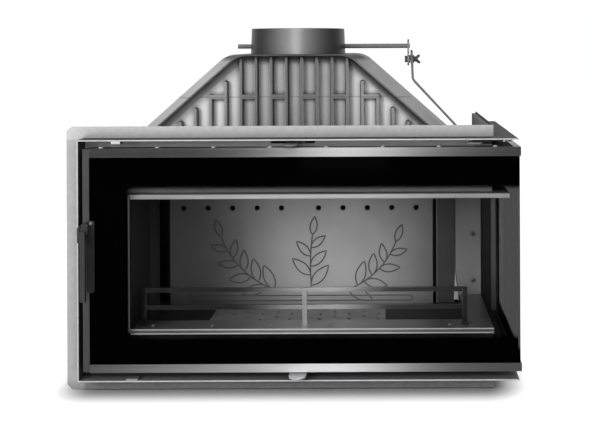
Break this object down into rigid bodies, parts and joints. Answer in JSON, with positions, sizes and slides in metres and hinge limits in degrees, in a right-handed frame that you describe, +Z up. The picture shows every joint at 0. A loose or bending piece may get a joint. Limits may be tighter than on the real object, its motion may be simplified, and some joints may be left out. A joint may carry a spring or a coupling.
{
  "type": "fireplace insert",
  "caption": "Corner fireplace insert with front and right side glass, ribbed smoke hood, round flue collar with damper, log guard, air slides and mounting frame.",
  "frame": {"origin": "on the floor under the flue collar's axis", "axes": "+X to the right seen from the front, +Y to the back, +Z up"},
  "size_m": [0.8635, 0.4425, 0.692],
  "materials": {
    "hood_iron": "sand cast, satin heat paint",
    "collar_iron": "satin heat paint",
    "body_iron": "sand cast, dark heat paint",
    "liner_iron": "sand cast, grey",
    "hearth_sheet": "satin grey heat paint",
    "zinc_sheet": "zinc coated, matt and mottled",
    "trim_steel": "brushed along its length",
    "dark_steel": "matt black heat paint",
    "rod_steel": "drawn, dull",
    "guard_steel": "brushed, darkened by heat",
    "bright_steel": "bright zinc plated",
    "ceramic_glass": "clear with a black printed border",
    "fibre": "woven glass fibre, graphite grey"
  },
  "bodies": {
    "insert": {"base_casting": "body_iron", "left_casting": "body_iron", "rear_casting": "body_iron", "right_column": "body_iron", "front_lintel": "body_iron", "air_box": "body_iron", "side_lintel": "body_iron", "top_plate": "body_iron", "hood_lower": "hood_iron", "hood_upper": "hood_iron", "hood_bolts": "bright_steel", "flue_collar": "collar_iron", "threshold_plate": "hearth_sheet", "upper_lip": "hearth_sheet", "left_liner_front": "liner_iron", "left_liner_rear": "liner_iron", "back_plate": "liner_iron", "right_liner": "liner_iron", "baffle_bar": "dark_steel", "smoke_baffle": "body_iron", "ash_pan": "hearth_sheet", "liner_screws": "bright_steel", "frame_top": "zinc_sheet", "frame_bottom": "zinc_sheet", "frame_left": "zinc_sheet", "frame_rear": "zinc_sheet", "frame_corner_bolt": "bright_steel", "latch_keeper": "rod_steel", "upper_hinge_block": "dark_steel", "lower_hinge_block": "dark_steel"},
    "door": {"door_top_rail_front": "dark_steel", "door_top_rail_side": "dark_steel", "door_bottom_rail_front": "dark_steel", "door_bottom_rail_side": "dark_steel", "door_left_stile": "dark_steel", "door_rear_stile": "dark_steel", "front_glass": "ceramic_glass", "side_glass": "ceramic_glass", "glass_gasket": "fibre", "top_trim": "trim_steel", "bottom_trim": "trim_steel", "left_trim": "trim_steel", "trim_screws": "bright_steel", "door_seal": "fibre", "hinge_pins": "rod_steel", "handle_block": "dark_steel", "handle_pin": "rod_steel"},
    "handle": {"handle_lever": "dark_steel", "handle_grip": "dark_steel"},
    "damper": {"damper_shaft": "rod_steel", "damper_disc": "rod_steel", "damper_lever": "rod_steel", "clamp_bolt": "bright_steel", "clamp_washers": "bright_steel", "wing_nut": "bright_steel"},
    "pull_rod": {"damper_pull_rod": "rod_steel"},
    "primary_slide": {"primary_air_slide": "rod_steel"},
    "secondary_slide": {"secondary_air_slide": "rod_steel"},
    "guard": {"log_guard": "guard_steel"},
    "fire_grate": {"grate": "liner_iron"}
  },
  "joints": [
    {"name": "door_swing", "type": "hinge", "parent": "insert", "child": "door", "pos_m": [0.415, 0.12, 0.255], "axis": [0, 0, 1], "range_deg": [0, 95]},
    {"name": "handle_lift", "type": "hinge", "parent": "door", "child": "handle", "pos_m": [-0.3845, -0.25, 0.316], "axis": [-1, 0, 0], "range_deg": [0, 35]},
    {"name": "damper_turn", "type": "hinge", "parent": "insert", "child": "damper", "pos_m": [0, 0, 0.655], "axis": [-1, 0, 0], "range_deg": [0, 50]},
    {"name": "pull_rod_pivot", "type": "hinge", "parent": "damper", "child": "pull_rod", "pos_m": [0.2412, 0, 0.627], "axis": [1, 0, 0], "range_deg": [0, 54]},
    {"name": "primary_air_slide", "type": "slide", "parent": "insert", "child": "primary_slide", "axis": [1, 0, 0], "range_m": [-0.03, 0.03]},
    {"name": "secondary_air_slide", "type": "slide", "parent": "insert", "child": "secondary_slide", "axis": [1, 0, 0], "range_m": [-0.03, 0.03]},
    {"name": "guard_lift", "type": "slide", "parent": "insert", "child": "guard", "axis": [0, 0, 1], "range_m": [0, 0.06]},
    {"name": "grate_lift", "type": "slide", "parent": "insert", "child": "fire_grate", "axis": [0, 0, 1], "range_m": [0, 0.05]}
  ],
  "couplings": [
    {"joint": "pull_rod_pivot", "follows": "damper_turn", "ratio": 1.056}
  ]
}
